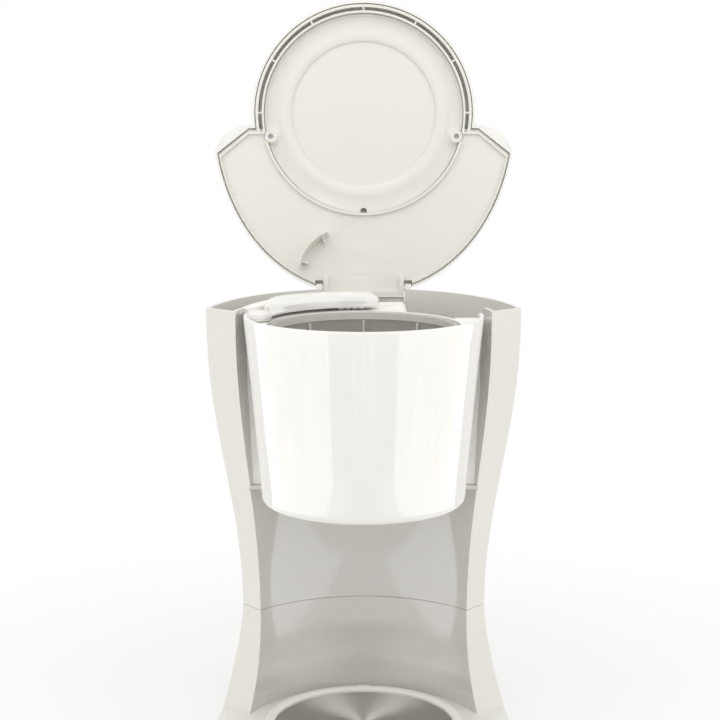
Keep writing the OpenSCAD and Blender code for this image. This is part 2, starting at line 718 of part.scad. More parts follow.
hot_turn_z = 50;
hot_bend_r = 7.5;
module hot_hose() {
    color("#E4E0D8") difference() {
        pipe([[-leg_x, spigot_end - hose_in, pipe_z], [-leg_x, hot[1] + 16, pipe_z], [hot[0], hot[1] + 16, pipe_z],
            [hot[0], hot[1] + 16, hot_turn_z], [hot[0], hot[1], hot_turn_z], [hot[0], hot[1], seam_z + hose_in]],
            hose_r, hot_bend_r);
        pipe([[-leg_x, spigot_end - hose_in - 1, pipe_z], [-leg_x, hot[1] + 16, pipe_z], [hot[0], hot[1] + 16, pipe_z],
            [hot[0], hot[1] + 16, hot_turn_z], [hot[0], hot[1], hot_turn_z], [hot[0], hot[1], seam_z + hose_in + 1]],
            bore_r, hot_bend_r);
    }
}

module riser_tube() {
    top = seam_z + hose_in + gap;
    color("#E4E0D8") difference() {
        union() {
            pipe([[hot[0], hot[1], top], [hot[0], hot[1], riser_run_z], [hub[0], hub[1], riser_run_z],
                [hub[0], hub[1], riser_top]], riser_r, riser_bend_r);
            translate([hot[0], hot[1], seam_z]) cylinder(r = bore_r - 0.1, h = hose_in + 1, $fn = 32);
        }
        pipe([[hot[0], hot[1], seam_z - 1], [hot[0], hot[1], riser_run_z], [hub[0], hub[1], riser_run_z],
            [hub[0], hub[1], riser_top + 1]], riser_r - 1.8, riser_bend_r);
    }
}

// ---- spout arm ---------------------------------------------------------------------

arm_a0 = 146;                               // start of the arm's dome, degrees round the basket
arm_a1 = 88.5;                              // centre of the arm's round tip
base_t = 1.4;
arm_h = 9.6;                                // height of the arm's cover over its base

// cross-section of the arm's cover at the fraction u of its length, thinned by d
function arm_section(u, d) = let(
        e = pow(1 - pow(abs(2 * u - 1), 7), 0.5) * 0.97 + 0.03,
        w = (arm_half_w - d) * e,
        h = (arm_h - d) * (0.35 + 0.65 * e) * (1 - 0.12 * u),
        a = mix(arm_a0 + 5 - d * 0.6, arm_a1 - 6.8 + d * 0.6, u))
    [for (j = [0 : 12]) let(b = j * 15, r = arm_arc_r + w * cos(b))
        [r * cos(a), r * sin(a), arm_z + base_t + h * pow(sin(b), 0.75)]];

module spout_arm_cover() {
    n = 22;
    m = 13;
    k = 2 * m;
    us = [for (i = [0 : n]) (1 - cos(180 * i / n)) / 2];
    color(white) polyhedron(
        points = [for (u = us) for (p = concat(arm_section(u, 0), flipped(arm_section(u, 1.5)))) p],
        faces = concat(
            [for (i = [0 : n - 1]) for (j = [0 : k - 1])
                let(a = i * k + j, b = i * k + (j + 1) % k)
                for (f = [[a, b, a + k], [b, b + k, a + k]]) f],
            [for (j = [0 : m - 2]) for (f = cut_up([j, k - 1 - j, k - 2 - j, j + 1])) f],
            [for (j = [0 : m - 2]) for (f = cut_up([j, j + 1, k - 2 - j, k - 1 - j])) [for (q = f) q + n * k]]),
        convexity = 6);
}

module spout_arm_base() {
    hub_r = 8.2;
    color(white) difference() {
        union() {
            up(arm_z) linear_extrude(base_t) arm_plan(arm_half_w);
            // hub round the riser
            translate([hub[0], hub[1], 0]) rotate_extrude($fn = 56)
                polygon(concat([[0, well_rim_z + 0.7], [hub_r, well_rim_z + 0.7]],
                    [for (i = [0 : 6]) [hub_r * cos(15 * i), arm_z + 2.1 + 3.1 * sin(15 * i)]]));
            // outlets over the filter
            for (a = [91, 95, 99, 103]) rotate([0, 0, a]) translate([arm_arc_r - 5, -1.8, arm_z - 1.6])
                cube([4, 3.6, 1.7]);
        }
        translate([hub[0], hub[1], well_rim_z - 1])
            cylinder(r = riser_r + run_gap, h = riser_top + 0.4 - well_rim_z + 1, $fn = 36);
        for (a = [91, 95, 99, 103]) rotate([0, 0, a]) translate([arm_arc_r - 4.2, -1, arm_z - 3])
            cube([2.4, 2, 8]);
    }
}

module arm_plan(w) {
    intersection() {
        difference() {
            circle(r = arm_arc_r + w, $fn = 144);
            circle(r = arm_arc_r - w, $fn = 144);
        }
        polygon(concat([[0, 0]], [for (i = [0 : 8]) let(a = mix(arm_a1, hub_deg(), i / 8)) 120 * [cos(a), sin(a)]]));
    }
    for (a = [arm_a1, arm_a0]) rotate(a) translate([arm_arc_r, 0]) circle(r = w, $fn = 48);
    intersection() {
        translate(hub) circle(r = w, $fn = 48);
        circle(r = arm_arc_r + w);
    }
}
function hub_deg() = atan2(hub[1], hub[0]);

// ---- filter basket --------------------------------------------------------------------

basket_r = well_r - basket_gap;
basket_z = well_floor_z + 3;
basket_rim_z = well_rim_z - 0.8;
cone_z = basket_z + 14;

module filter_basket() {
    r_low = basket_r - 9;
    w = basket_wall;
    color("#F1EFE9") union() {
        rotate_extrude($fn = 96)
                polygon([[stem_r + 0.6, outlet_z], [outlet_r, outlet_z], [outlet_r, basket_z - 0.5],
                    [r_low, cone_z - 8], [r_low + 1, cone_z], [basket_r - 1.6, basket_rim_z - 5],
                    [basket_r, basket_rim_z - 4.6], [basket_r, basket_rim_z - 0.6], [basket_r - 0.6, basket_rim_z],
                    [basket_r - 3.4, basket_rim_z], [basket_r - 3.8, basket_rim_z - 0.5],
                    [basket_r - 3.8, basket_rim_z - 4.4], [basket_r - 1.6 - w, basket_rim_z - 5.6],
                    [r_low + 1 - w, cone_z + 0.6], [r_low - w, cone_z - 8 + w], [bore_in, basket_z + w],
                    [bore_in, outlet_z + lip_t], [stem_r + 0.6, outlet_z + lip_t]]);
        stop_guide();
        // draining ribs
        for (i = [0 : basket_ribs - 1]) rotate([0, 0, 90 + i * 360 / basket_ribs]) rotate([90, 0, 0])
            translate([0, 0, -0.6]) linear_extrude(1.2)
            polygon([[r_low + 1 - w / 2, cone_z + 1], [basket_r - 1.6 - w / 2, basket_rim_z - 7],
                [basket_r - 1.6 - w - 2, basket_rim_z - 7], [r_low + 1 - w - 2, cone_z + 1]]);
    }
}

plunger_z = shell_foot_z - 8;
outlet_z = shell_foot_z - 3;                // lower end of the basket's outlet
lip_t = 1.1;                                // thickness of the outlet's inward lip
stem_r = 5.4;                               // lower stem of the drip stop
pin_top_r = 2.2;                            // upper stem of the drip stop
bore_in = outlet_r - basket_wall;           // inner radius of the outlet
seal_z = outlet_z + lip_t + 0.2;
seal_t = 1.2;
disc_z = seal_z + seal_t + 0.1;
disc_t = 1.2;
guide_z = basket_z + 0.6;                   // underside of the guide over the drip stop
guide_t = 1.2;

module drip_stop_plunger() {
    r = bore_in - 0.6;
    color(white) rotate_extrude($fn = 36)
        polygon([[0, plunger_z], [stem_r - 0.8, plunger_z], [stem_r, plunger_z + 1], [stem_r, disc_z], [r, disc_z],
            [r, disc_z + disc_t], [pin_top_r, disc_z + disc_t], [pin_top_r, guide_z + 2.6], [0, guide_z + 2.6]]);
}

module drip_stop_seal() {
    color(rubber) up(seal_z) ring(bore_in - 0.7, stem_r + 0.1, seal_t);
}

// guide with three spokes, between the basket's outlet and the drip stop's upper stem
module stop_guide() {
    up(guide_z) difference() {
        union() {
            cylinder(r = 5.4, h = guide_t, $fn = 36);
            for (a = [30, 150, 270]) rotate([0, 0, a]) translate([4, -0.8, 0]) cube([bore_in - 3.6, 1.6, guide_t]);
        }
        up(-1) cylinder(r = pin_top_r + run_gap, h = 4, $fn = 36);
    }
}

module drip_stop_spring() {
    r = 4.6;
    wire = 0.4;
    turns = 3;
    n = 12;
    z0 = disc_z + disc_t + wire + 0.1;
    z1 = guide_z - wire - 0.1;
    color("silver") polyhedron(
        points = [for (i = [0 : turns * n]) let(a = i * 360 / n, z = mix(z0, z1, i / (turns * n)))
            for (j = [0 : 5]) let(b = j * 60)
                [(r + wire * cos(b)) * cos(a), (r + wire * cos(b)) * sin(a), z + wire * sin(b)]],
        faces = concat(
            [for (i = [0 : turns * n - 1]) for (j = [0 : 5])
                let(a = i * 6 + j, b = i * 6 + (j + 1) % 6)
                for (f = [[a, a + 6, b], [b, a + 6, b + 6]]) f],
            [[for (j = [0 : 5]) j], [for (j = [5 : -1 : 0]) turns * n * 6 + j]]),
        convexity = 10);
}

// ---- lid -----------------------------------------------------------------------------

lid_z = hinge_z + 0.3;                      // underside of the closed lid
lid_face_z = body_top + 7.2;                // underside of the closed lid's disc

module opened() {
    translate([0, hinge_y, hinge_z]) rotate([-lid_open, 0, 0]) translate([0, -hinge_y, -hinge_z]) children();
}

rear_trim = 1.6;                            // where the lid ends short of its hinge axis

// plan of the lid: the body's outline at the top with a round front over the basket
module lid_plan(d) {
    intersection() {
        union() {
            circle(r = lid_r - d, $fn = 144);
            polygon(lid_ears(d));
        }
        translate([-150, -150]) square([300, 150 + hinge_y - rear_trim]);
    }
}

// outline of the lid behind its round front, inset by d; b from 0 to 1 rounds out the front of the ears
function lid_ears(d, b = 0) = let(
        x = out_x(body_top) + lid_over - d, y = out_y(body_top) + 0.9 * d,
        ear = [in_x(body_top) - 1.2, in_y(body_top) - 0.5 + 1.5 * d],
        corner = [x - 0.8, y - 0.8],
        half = concat(
            [[0, ear[1]]],
            [for (i = [0 : 8]) mix(mix(ear, corner, i / 8),
                bezier(ear, ear + [8, -1.5], corner + [0, -12], corner, i / 8), b)],
            rear_half(x, y, rear_y(body_top) + lid_over - d, 20)))
    concat(half, mirrored(half));

cover_levels = [0, 2, 8, lid_h - 5, lid_h - 3, lid_h - 1.5, lid_h - 0.5, lid_h];
cover_in = [0, 0, 0, 0.3, 1.3, 3, 5, 8];    // how far the cover is rounded in at each level
cover_bulge = [0, 0, 1, 1, 1, 1, 1, 1];

module lid_cover() {
    t = 1.9;
    n = len(cover_levels) - 1;
    color(white) opened() difference() {
        union() {
            up(lid_z) loft([for (i = [0 : n]) lid_ears(cover_in[i], cover_bulge[i])], cover_levels);
            // round front
            up(lid_z) rotate_extrude($fn = 144) polygon(concat(
                [[0, -0.2], [lid_r, -0.2]],
                [for (i = [1 : n]) [lid_r - cover_in[i], cover_levels[i] + 0.2]],
                [[0, lid_h + 0.2]]));
        }
        up(lid_z - 1) linear_extrude(lid_h - t - 1) lid_plan(t);
        translate([-150, hinge_y - rear_trim, lid_z - 1]) cube([300, 60, lid_h + 2]);
        hinge_relief();
    }
}

// room inside the lid for the hinge and its brackets
module hinge_relief() {
    r = bracket_t + notch_half + 0.8;
    translate([-r, hinge_y - 6, lid_z - 1]) cube([2 * r, 16, bracket_r + 2.2]);
}

slot_deg = 9;                               // how far the slotted ring reaches behind the side

// part of a ring round the front of the lid, with the section given in the plane
module front_sector(more = 0) {
    rotate([0, 0, 180 - slot_deg - more])
        rotate_extrude(angle = 180 + 2 * (slot_deg + more), $fn = 144) children();
}

module lid_frame() {
    t = 1.8;
    floor_z = lid_z + 2.6;
    color(cream) opened() difference() {
        union() {
            difference() {
                union() {
                    // inner face of the ears and rear, with a rim that stands inside its edge
                    up(floor_z) linear_extrude(t) lid_plan(2.2);
                    up(lid_z + 0.4) linear_extrude(3) difference() {
                        lid_plan(3.4);
                        lid_plan(4.7);
                    }
                    // band round the front, and thin rim all round the disc
                    front_sector(1) translate([disc_r + 3.9, lid_z + 0.3]) square([lid_r - disc_r - 6.5, 3]);
                    up(lid_z + 0.2) ring(disc_r + 2.2, disc_r - 1, 4.1);
                }
                // slots between the band and the rim
                front_sector() translate([disc_r + 1.8, lid_z - 1]) square([2.6, 12]);
                hinge_relief();
            }
            // ribs across the slots, and rails from the ears' rims to the slots' ends
            for (a = [-180 : 30 : 0]) rotate([0, 0, a])
                translate([disc_r + 1, -0.6, lid_z + 0.6]) cube([4.4, 1.2, 3.4]);
            both_sides() translate([disc_r - 3, in_y(body_top) + 5, lid_z + 0.5]) cube([13, 1.3, 3]);
            // hinge posts, bar and pins
            both_sides() translate([hinge_half - 3.2, hinge_y - 9, lid_z - 2.2]) cube([3.2, 14.5, 5]);
            translate([-hinge_half, hinge_y + 2.2, lid_z - 2.2]) cube([2 * hinge_half, 3.3, 3.4]);
            both_sides() translate([hinge_half - 1, hinge_y, hinge_z]) rotate([0, 90, 0])
                cylinder(r = pin_r, h = 4.6, $fn = 32);
            fin();
        }
        up(lid_z - 5) cylinder(r = disc_r + 0.4, h = 20, $fn = 144);
        at_all(lid_boss_at) up(lid_z - 5) cylinder(r = lid_boss_r + gap, h = 20, $fn = 40);
    }
}

// curved, slanted blade that sweeps the spout arm over the filter as the lid closes
fin_r = 33.5;
module fin() {
    depth = 8;
    translate([-14.5, 117.7, 0]) {
        rotate([0, 0, 189]) rotate_extrude(angle = 60, $fn = 120) polygon([[fin_r - 1, lid_z - depth],
            [fin_r, lid_z - depth], [fin_r - 1.6, lid_z + 3], [fin_r - 3.6, lid_z + 3]]);
        for (a = [197, 240]) rotate([0, 0, a]) translate([fin_r - 7, -0.6, lid_z - depth / 2])
            cube([5.4, 1.2, depth / 2 + 3]);
    }
}

lid_boss_at = [for (s = [-1, 1]) [(disc_r - 4.7) * s, 17, 0]];
lid_boss_r = 4.6;

module lid_disc() {
    color("#EFEDE6") opened() difference() {
        union() {
            up(lid_face_z) rotate_extrude($fn = 120)
                polygon([[0, 1.7], [disc_hollow_r - 0.5, 1.7], [disc_hollow_r, 0.3], [disc_hollow_r + 1.4, -0.6],
                    [disc_hollow_r + 5, -1], [disc_hollow_r + 8, -0.6], [disc_hollow_r + 10, 0.2], [disc_r - 1.5, 0.4],
                    [disc_r - 1.5, -1.6], [disc_r, -1.6], [disc_r, 2.2], [disc_hollow_r + 10, 2.4],
                    [disc_hollow_r, 3.3], [0, 3.3]]);
            at_all(lid_boss_at) up(lid_z + 1.5) cylinder(r = lid_boss_r, h = lid_face_z - lid_z, $fn = 40);
            // flared feet of the bosses
            intersection() {
                at_all(lid_boss_at) up(lid_face_z - 2.8) cylinder(r1 = lid_boss_r - 0.2, r2 = lid_boss_r + 3.6, h = 3.6, $fn = 40);
                up(lid_face_z - 4) cylinder(r = disc_r - 0.4, h = 8, $fn = 96);
            }
        }
        at_all(lid_boss_at) up(lid_z) {
            cylinder(r = 1.9, h = 5, $fn = 24);
            cylinder(r = 1.2, h = 20, $fn = 24);
        }
        // finger notch in the rear edge of the disc
        translate([0, disc_r - 1.2, lid_z]) cylinder(r = 2.4, h = 20, $fn = 32);
    }
}

module lid_screws() {
    color("silver") opened() at_all(lid_boss_at) difference() {
        union() {
            up(lid_z + 3.2) cylinder(r = 1.8, h = 1.7, $fn = 24);
            up(lid_z + 4) cylinder(r = 1.1, h = 7.5, $fn = 24);
        }
        up(lid_z) cylinder(r = 0.9, h = 4, $fn = 6);
    }
}

// ---- switch and mains inlet --------------------------------------------------------------

switch_w = 26;
switch_h = 14;
switch_z = 16;
switch_y = -base_front;
switch_wall = 1.6;
rocker_w = switch_w - 2 * switch_wall - 0.8;
rocker_tilt = 7;                            // lean of the rocker in its off position
pivot_y = switch_y + 2.6;
pivot_r = 1.2;

module switch_opening() {
    translate([-switch_w / 2, switch_y - 5, switch_z - switch_h / 2]) cube([switch_w, 20, switch_h]);
}

module switch_bezel() {
    color("#D9D7D0") difference() {
        union() {
            translate([-switch_w / 2 - 2, switch_y - 1.6, switch_z - switch_h / 2 - 2])
                cube([switch_w + 4, 1.5, switch_h + 4]);
            translate([-switch_w / 2 + 0.2, switch_y - 0.5, switch_z - switch_h / 2 + 0.2])
                cube([switch_w - 0.4, 10.5, switch_h - 0.4]);
        }
        translate([-switch_w / 2 + switch_wall, switch_y - 5, switch_z - switch_h / 2 + switch_wall])
            cube([switch_w - 2 * switch_wall, 30, switch_h - 2 * switch_wall]);
        translate([-rocker_w / 2 - 1.4, pivot_y, switch_z]) rotate([0, 90, 0])
            cylinder(r = pivot_r + run_gap, h = rocker_w + 2.8, $fn = 32);
    }
}

module switch_rocker() {
    color("#C8453A") translate([0, pivot_y, switch_z]) rotate([-rocker_tilt, 0, 0]) {
        rotate([90, 0, 90]) translate([0, 0, -rocker_w / 2]) linear_extrude(rocker_w)
            polygon([[-3.5, 4.7], [-2.4, 0], [-3.5, -4.7], [3, -3.4], [3, 3.4]]);
        rotate([0, 90, 0]) translate([0, 0, -rocker_w / 2 - 1.2]) cylinder(r = pivot_r, h = rocker_w + 2.4, $fn = 32);
    }
}

module switch_body() {
    color("#3A3A3A") translate([-switch_w / 2 + 1.8, switch_y + 10.2, switch_z - switch_h / 2 + 1.8])
        cube([switch_w - 3.6, 12, switch_h - 3.6]);
}

gland_z = 16;
gland_r = 6;
gland_at = [0, rear_y(gland_z), gland_z];
module gland_opening() {
    translate(gland_at - [0, 12, 0]) rotate([-90, 0, 0]) cylinder(r = gland_r + 0.2, h = 30, $fn = 40);
    // flat seat for the gland's collar
    translate(gland_at) rotate([-90, 0, 0]) cylinder(r = gland_r + 2.6, h = 10, $fn = 40);
}

// grommet in the rear wall that a mains cord passes through
module cord_gland() {
    color(rubber) translate(gland_at) rotate([-90, 0, 0]) rotate_extrude($fn = 40)
        polygon([[3.4, -8], [gland_r, -8], [gland_r, 0.1], [gland_r + 2.2, 0.1], [gland_r + 1.8, 1.8], [3.8, 2.2],
            [3.4, 1.8]]);
}

module terminal_block() {
    color("#EFEFEF") translate([-46, 84, plate_z + plate_t + 0.2]) difference() {
        cube([26, 12, 11]);
        for (x = [6, 13, 20]) translate([x, 6, 5]) cylinder(r = 1.8, h = 10, $fn = 20);
    }
}

placed() upper_housing();
placed() lower_housing();
placed() base_plate();
placed() rubber_feet();
placed() base_screws();
placed() front_shell();
placed() well_tub();
placed() level_window();
placed() hot_plate();
placed() hot_plate_ring();
placed() heating_element();
placed() heater_clamp();
placed() heater_screws();
placed() thermostat();
placed() thermal_fuse();
placed() cold_hose();
placed() check_valve_body();
placed() check_valve_ball();
placed() tank_strainer();
placed() hot_hose();
placed() riser_tube();
placed() spout_arm_cover();
placed() spout_arm_base();
placed() filter_basket();
placed() drip_stop_plunger();
placed() drip_stop_spring();
placed() drip_stop_seal();
placed() lid_cover();
placed() lid_frame();
placed() lid_disc();
placed() lid_screws();
placed() switch_bezel();
placed() switch_rocker();
placed() switch_body();
placed() terminal_block();
placed() cord_gland();
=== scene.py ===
# %% [markdown]
# # A drip coffee maker, dressed for its picture
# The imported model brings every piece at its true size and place. This script gives those pieces
# rounded edges, moulded plastic, coated metal and rubber, and sets up a small photo studio.

# %% Load the model and keep its box
import math

import bmesh
import bpy
from mathutils import Matrix, Vector


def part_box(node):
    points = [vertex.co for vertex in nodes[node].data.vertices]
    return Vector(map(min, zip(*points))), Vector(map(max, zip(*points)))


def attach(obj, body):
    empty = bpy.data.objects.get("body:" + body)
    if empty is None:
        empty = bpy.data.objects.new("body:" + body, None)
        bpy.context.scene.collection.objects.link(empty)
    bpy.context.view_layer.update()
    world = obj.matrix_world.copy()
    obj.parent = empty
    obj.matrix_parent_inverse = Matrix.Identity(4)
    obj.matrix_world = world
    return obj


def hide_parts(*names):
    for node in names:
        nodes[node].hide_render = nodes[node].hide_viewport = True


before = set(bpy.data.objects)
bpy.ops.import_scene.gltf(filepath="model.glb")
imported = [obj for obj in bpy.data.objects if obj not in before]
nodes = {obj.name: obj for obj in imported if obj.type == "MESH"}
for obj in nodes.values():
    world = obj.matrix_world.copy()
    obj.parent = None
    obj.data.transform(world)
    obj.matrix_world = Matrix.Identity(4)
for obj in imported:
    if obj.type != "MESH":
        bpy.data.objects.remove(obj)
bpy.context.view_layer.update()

scene = bpy.context.scene
MM = 0.001
print("pieces in the model:", len(nodes))

# %% [markdown]
# ## The camera
# The picture is taken from the front and a little above, with a long lens, so upright edges stay
# nearly parallel. A camera in Blender looks down its own -Z axis, so a turn of 80 degrees about X
# tips it from straight down to 10 degrees below the horizon. A small lens shift frames the machine
# without turning the camera.

# %% Camera
BASKET_Y = -46.0333 * MM                # the axis of the basket and of the hot plate
CAMERA_BACK = 1.1376                    # from that axis forward to the camera
CAMERA_UP = 0.4791                      # above the worktop
CAMERA_TIP = math.radians(80)           # from straight down
camera_data = bpy.data.cameras.new("camera")
camera_data.sensor_width = 36
camera_data.lens = 87.45
camera_data.shift_x = -0.005
camera_data.shift_y = 0.0119
camera = bpy.data.objects.new("camera", camera_data)
camera.location = (0, BASKET_Y - CAMERA_BACK, CAMERA_UP)
camera.rotation_euler = (CAMERA_TIP, 0, 0)
scene.collection.objects.link(camera)
scene.camera = camera
scene.view_settings.view_transform = "Standard"
print("camera at", tuple(round(v, 4) for v in camera.location))

# %% [markdown]
# ## The studio
# White plastic on white only shows its form where its gloss mirrors something brighter or darker
# than the room. So the room is an even pale grey-white for matt light, but plain white to the
# camera, to mirrors and to glass. The Light Path node tells these rays apart, so the backdrop needs
# no lamp of its own. A few helpers keep the shader trees short: one makes a node and sets its
# sockets, and one joins nodes in pairs.

# %% Small helpers for colours and shader nodes
def colour(text, alpha=1.0):
    """A colour from its usual written form, such as "#F0EEE8", as linear light."""
    values = [int(text[i:i + 2], 16) / 255 for i in (1, 3, 5)]
    return [v / 12.92 if v <= 0.04045 else ((v + 0.055) / 1.055) ** 2.4 for v in values] + [alpha]


def preset(shader_node, values):
    """Set sockets of a shader node by name or number."""
    for socket, value in values.items():
        shader_node.inputs[socket].default_value = value


def node_in(tree, kind, values=None, **settings):
    """A new shader node with its settings and the values of its sockets."""
    made = tree.nodes.new(kind)
    for key, value in settings.items():
        setattr(made, key, value)
    preset(made, values or {})
    return made


def link_all(tree, pairs):
    """Join each output to its input."""
    for source, target in pairs:
        tree.links.new(source, target)


def seen_mask(tree):
    """1 for rays from the camera, from a mirror or through glass, and 0 for matt light."""
    path = node_in(tree, "ShaderNodeLightPath")
    first = node_in(tree, "ShaderNodeMath", operation="MAXIMUM")
    second = node_in(tree, "ShaderNodeMath", operation="MAXIMUM")
    link_all(tree, ((path.outputs["Is Camera Ray"], first.inputs[0]),
                    (path.outputs["Is Glossy Ray"], first.inputs[1]),
                    (first.outputs[0], second.inputs[0]),
                    (path.outputs["Is Transmission Ray"], second.inputs[1])))
    return second.outputs[0]


print("cream as linear light:", [round(v, 3) for v in colour("#E6E4DE")])

# %% [markdown]
# The room itself is the world shader: two plain backgrounds, mixed by the kind of ray.

# %% World
AMBIENT = 0.6                           # how bright the room is on matt surfaces
world = bpy.data.worlds.new("studio")
scene.world = world
world.use_nodes = True
tree = world.node_tree
tree.nodes.clear()
room = node_in(tree, "ShaderNodeBackground", {"Color": colour("#FBFAF8"), "Strength": AMBIENT})
white = node_in(tree, "ShaderNodeBackground", {"Color": (1, 1, 1, 1)})
mix = node_in(tree, "ShaderNodeMixShader")
out = node_in(tree, "ShaderNodeOutputWorld")
link_all(tree, ((seen_mask(tree), mix.inputs["Fac"]), (room.outputs[0], mix.inputs[1]),
                (white.outputs[0], mix.inputs[2]), (mix.outputs[0], out.inputs["Surface"])))
print("the room is", AMBIENT, "bright on matt surfaces and 1 in mirrors")

# %% [markdown]
# Three lamps stand on each side. A softbox lights matt surfaces and doesn't show in gloss. A wide
# sheen panel close by does the opposite: it shows in gloss alone, and light linking lets it reach
# only the polished pieces. There it lays a long bright band down each side of a round wall, with a
# clean edge. A reflector on the floor shows in the hollow wall behind the jug. Two more softboxes
# above fill the lid and the shelf, and stay out of gloss so that they draw no wedge across the spun
# plate.

# %% Lamps
def area_lamp(name, size, energy, place, turn):
    """A rectangular lamp, which shines along its own -Z axis."""
    lamp = bpy.data.lights.new(name, "AREA")
    lamp.shape = "RECTANGLE"
    lamp.size, lamp.size_y = size
    lamp.energy = energy
    made = bpy.data.objects.new(name, lamp)
    made.location = place
    made.rotation_euler = turn
    scene.collection.objects.link(made)
    return made


def softbox(name, azimuth, distance, low, high, width, brightness, mirrored):
    """An upright softbox that faces the machine; azimuth 0 is towards the camera. It lights matt
    surfaces, or with mirrored it shows in gloss only."""
    turn = math.radians(azimuth)
    place = (distance * math.sin(turn), BASKET_Y - distance * math.cos(turn), (low + high) / 2)
    made = area_lamp(name, (width, high - low), brightness * math.pi * width * (high - low), place,
                     (math.radians(90), 0, turn))
    made.visible_camera = False
    made.visible_diffuse = not mirrored
    made.visible_glossy = mirrored
    return made


SHEEN_FROM, SHEEN_TO = 31.0, 118.8      # the front and rear edge of each sheen, in degrees
SHEEN_REACH = 0.4                       # from the basket's axis out to the sheen panel
SOFT_AT, REFLECTOR_AT = 62, 75          # how far round to the side these stand, in degrees
REFLECTOR_Z = 0.002                     # the reflector lies just above the floor
sheen_half = (SHEEN_TO - SHEEN_FROM) / 2
sheen_width = 2 * SHEEN_REACH * math.tan(math.radians(sheen_half))
polished = bpy.data.collections.new("polished_pieces")      # the only pieces the sheens reach
for side, name in ((-1, "softbox_left"), (1, "softbox_right")):
    softbox(name, side * SOFT_AT, distance=0.8, low=0.1, high=1.0, width=0.7, brightness=0.8,
            mirrored=False)
    sheen = softbox(name + "_sheen", side * (SHEEN_FROM + sheen_half), distance=SHEEN_REACH,
                    low=0.0, high=0.95, width=sheen_width, brightness=2.1, mirrored=True)
    sheen.light_linking.receiver_collection = polished
    reflector = softbox(name + "_low", side * REFLECTOR_AT, distance=0.46, low=0, high=0.8,
                        width=0.56, brightness=0.6, mirrored=True)
    reflector.location.z = REFLECTOR_Z
    reflector.rotation_euler = (math.radians(180), 0, 0)
ABOVE = (                               # name, size, watts, place, and tilt in degrees
    ("softbox_overhead", (1.3, 1.0), 5, (0, -0.9, 1.3), 40),
    ("softbox_top", (1.2, 1.0), 3.5, (0, -0.05, 1.4), 0),
)
for name, size, watts, place, tilt in ABOVE:
    area_lamp(name, size, watts, place, (math.radians(tilt), 0, 0)).visible_glossy = False

# %% [markdown]
# The floor is one large plain sheet. Near the machine its matt white takes the soft shadow of the
# base. Farther out it glows just as white as the backdrop, so no horizon shows. Both are one
# shader, mixed by the distance from the machine.

# %% Floor
FLOOR_HALF = 6.0
FADE_FROM, FADE_TO = 0.12, 0.55         # where the glow starts to grow, and where it is full
GLOW_NEAR = 0.55                        # the share of glow beside the machine
floor_mesh = bpy.data.meshes.new("floor")
bm = bmesh.new()
bmesh.ops.create_grid(bm, x_segments=1, y_segments=1, size=FLOOR_HALF)
bm.to_mesh(floor_mesh)
bm.free()
floor = bpy.data.objects.new("floor", floor_mesh)
scene.collection.objects.link(floor)
floor_material = bpy.data.materials.new("floor_white")
floor_material.use_nodes = True
tree = floor_material.node_tree
paper = tree.nodes["Principled BSDF"]
preset(paper, {"Base Color": colour("#FAFAF8"), "Roughness": 0.9, "Specular IOR Level": 0.1})
glow = node_in(tree, "ShaderNodeEmission")
coords = node_in(tree, "ShaderNodeTexCoord")
away = node_in(tree, "ShaderNodeVectorMath", operation="LENGTH")
fade = node_in(tree, "ShaderNodeMapRange",
               {"From Min": FADE_FROM, "From Max": FADE_TO, "To Min": GLOW_NEAR},
               interpolation_type="SMOOTHSTEP")
share = node_in(tree, "ShaderNodeMath", operation="MULTIPLY")
both = node_in(tree, "ShaderNodeMixShader")
link_all(tree, ((coords.outputs["Object"], away.inputs[0]),
                (away.outputs["Value"], fade.inputs["Value"]),
                (fade.outputs["Result"], share.inputs[0]), (seen_mask(tree), share.inputs[1]),
                (share.outputs[0], both.inputs["Fac"]), (paper.outputs[0], both.inputs[1]),
                (glow.outputs[0], both.inputs[2]),
                (both.outputs[0], tree.nodes["Material Output"].inputs["Surface"])))
floor_mesh.materials.append(floor_material)
print("floor:", 2 * FLOOR_HALF, "m across")

# %% [markdown]
# ## What all moulded plastic shares
# Injection-moulded plastic is never one flat colour. Under a lens it has a fine spark-eroded
# grain, and larger soft waves where the wall shrank as it cooled. Both are noise at two scales, so
# they are one node group that every plastic uses with its own amounts.

# %% The moulded skin
def group(name, inputs, outputs):
    """A shader node group with named number or colour sockets."""
    made = bpy.data.node_groups.new(name, "ShaderNodeTree")
    for side, sockets in (("INPUT", inputs), ("OUTPUT", outputs)):
        for label, kind, value in sockets:
            socket = made.interface.new_socket(name=label, in_out=side, socket_type=kind)
            if value is not None:
                socket.default_value = value
    start = made.nodes.new("NodeGroupInput")
    end = made.nodes.new("NodeGroupOutput")
    return made, start, end


FLOAT, COLOUR, VECTOR = "NodeSocketFloat", "NodeSocketColor", "NodeSocketVector"
skin, skin_in, skin_out = group(
    "moulded_skin",
    [("Colour", COLOUR, (0.8, 0.8, 0.8, 1)), ("Roughness", FLOAT, 0.3), ("Grain", FLOAT, 0.1),
     ("Grain scale", FLOAT, 1400.0), ("Waves", FLOAT, 0.05)],
    [("Colour", COLOUR, None), ("Roughness", FLOAT, None), ("Normal", VECTOR, None)])
coords = node_in(skin, "ShaderNodeTexCoord")
grain = node_in(skin, "ShaderNodeTexNoise", {"Detail": 3}, noise_dimensions="3D")
waves = node_in(skin, "ShaderNodeTexNoise", {"Scale": 14, "Detail": 1}, noise_dimensions="3D")
bump_waves = node_in(skin, "ShaderNodeBump", {"Distance": 0.0006})
bump_grain = node_in(skin, "ShaderNodeBump", {"Distance": 0.00004})
shade = node_in(skin, "ShaderNodeMapRange", {"To Min": 0.985, "To Max": 1.01})
tint = node_in(skin, "ShaderNodeMix", data_type="RGBA", blend_type="MULTIPLY")
preset(tint, {"Factor": 1})
rough = node_in(skin, "ShaderNodeMapRange", {"To Min": 0.9, "To Max": 1.1})
